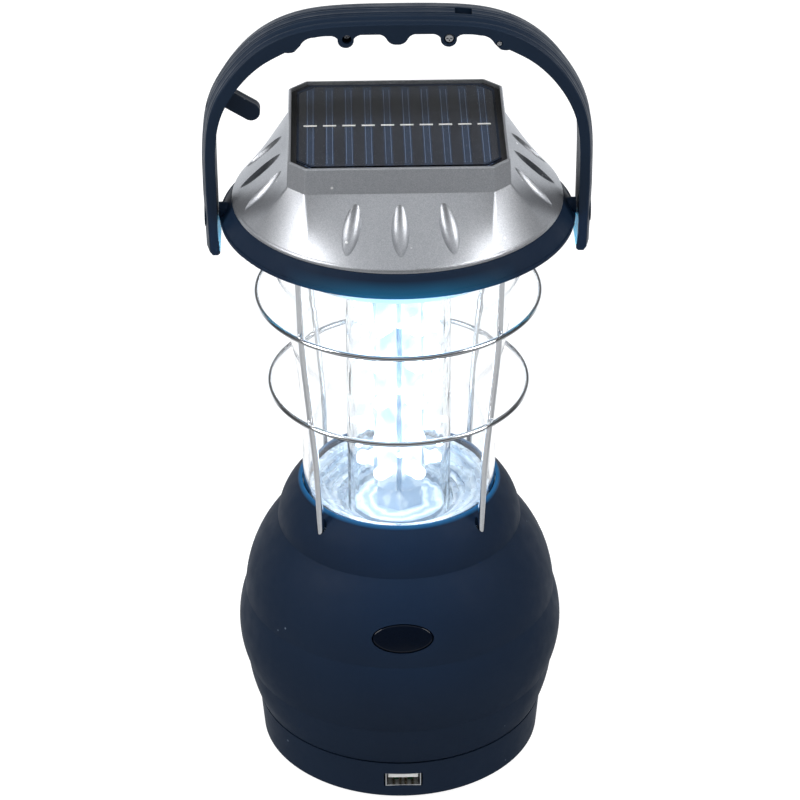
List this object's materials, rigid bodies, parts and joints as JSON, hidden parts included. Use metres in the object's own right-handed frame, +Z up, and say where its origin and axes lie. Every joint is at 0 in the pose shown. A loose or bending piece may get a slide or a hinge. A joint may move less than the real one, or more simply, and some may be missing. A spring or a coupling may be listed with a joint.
{
  "type": "solar lantern",
  "caption": "Solar camping lantern: ribbed bell body, clear globe in a wire guard, silver head with a top solar panel, bail handle with a swing-out hook.",
  "frame": {"origin": "on the floor, under the middle of the round base", "axes": "+Z up, -Y towards the front with the button and the USB socket, +X to the right seen from the front"},
  "size_m": [0.1368, 0.1258, 0.2977],
  "materials": {
    "soft_navy": "soft-touch moulded, dark navy",
    "handle_navy": "fine satin moulded, dark navy",
    "silver_shell": "satin metallic silver paint",
    "chrome_wire": "polished",
    "screw_steel": "bright zinc",
    "clear_globe": "clear polished",
    "clear_tube": "clear, lightly ribbed",
    "white_inner": "white moulded",
    "reflector": "metallised mirror",
    "led_lens": "clear water-white, lit cool white",
    "circuit_board": "green solder resist",
    "component_black": "moulded black",
    "rubber_black": "matte",
    "cell_can": "printed-free shrink sleeve",
    "contact_metal": "nickel-plated spring metal",
    "silicon": "dark blue-grey silicon strips",
    "tabbing": "tinned ribbon",
    "panel_dark": "dark backing board",
    "panel_epoxy": "clear gloss",
    "button_gloss": "high gloss near black",
    "usb_metal": "nickel-plated shell",
    "usb_plastic": "white insulator",
    "wire_red": "insulated lead"
  },
  "bodies": {
    "lantern": {"base_shell": "soft_navy", "feet": "rubber_black", "battery_door": "soft_navy", "battery_door_screw": "screw_steel", "battery_tray": "component_black", "battery_cells": "cell_can", "battery_contacts": "contact_metal", "battery_springs": "contact_metal", "main_board": "circuit_board", "board_parts": "component_black", "board_screws": "screw_steel", "usb_shell": "usb_metal", "usb_tongue": "usb_plastic", "usb_contacts": "contact_metal", "usb_board": "circuit_board", "base_screws": "screw_steel", "body_shell": "soft_navy", "tact_switch": "component_black", "switch_board": "circuit_board", "switch_screws": "screw_steel", "globe_seat": "white_inner", "seat_screws": "screw_steel", "lower_gasket": "rubber_black", "globe": "clear_globe", "upper_gasket": "rubber_black", "lower_reflector": "reflector", "inner_tube": "clear_tube", "led_column": "white_inner", "led_boards": "white_inner", "leds": "led_lens", "upper_reflector": "white_inner", "guard_rods": "chrome_wire", "guard_ring_lower": "chrome_wire", "guard_ring_upper": "chrome_wire", "top_rim": "soft_navy", "head_screws": "screw_steel", "head_cover": "silver_shell", "panel_seal": "rubber_black", "panel_board": "panel_dark", "solar_cells": "silicon", "cell_tabbing": "tabbing", "panel_window": "panel_epoxy", "panel_lead": "wire_red"},
    "handle": {"handle_front": "handle_navy", "handle_rear": "handle_navy", "handle_screws": "screw_steel", "pivot_pins": "screw_steel", "hook_pin": "screw_steel"},
    "hook": {"hook": "handle_navy"},
    "power_button": {"power_button": "button_gloss", "switch_plunger": "component_black"}
  },
  "joints": [
    {"name": "handle_swing", "type": "hinge", "parent": "lantern", "child": "handle", "pos_m": [0, 0, 0.2214], "axis": [1, 0, 0], "range_deg": [-80, 80]},
    {"name": "hook_swing", "type": "hinge", "parent": "handle", "child": "hook", "pos_m": [0.0178, 0, 0.2908], "axis": [0, 1, 0], "range_deg": [0, 95]},
    {"name": "button_press", "type": "slide", "parent": "lantern", "child": "power_button", "axis": [0, 0.9578, -0.2874], "range_m": [0, 0.001], "stiffness_N_per_m": 600}
  ]
}
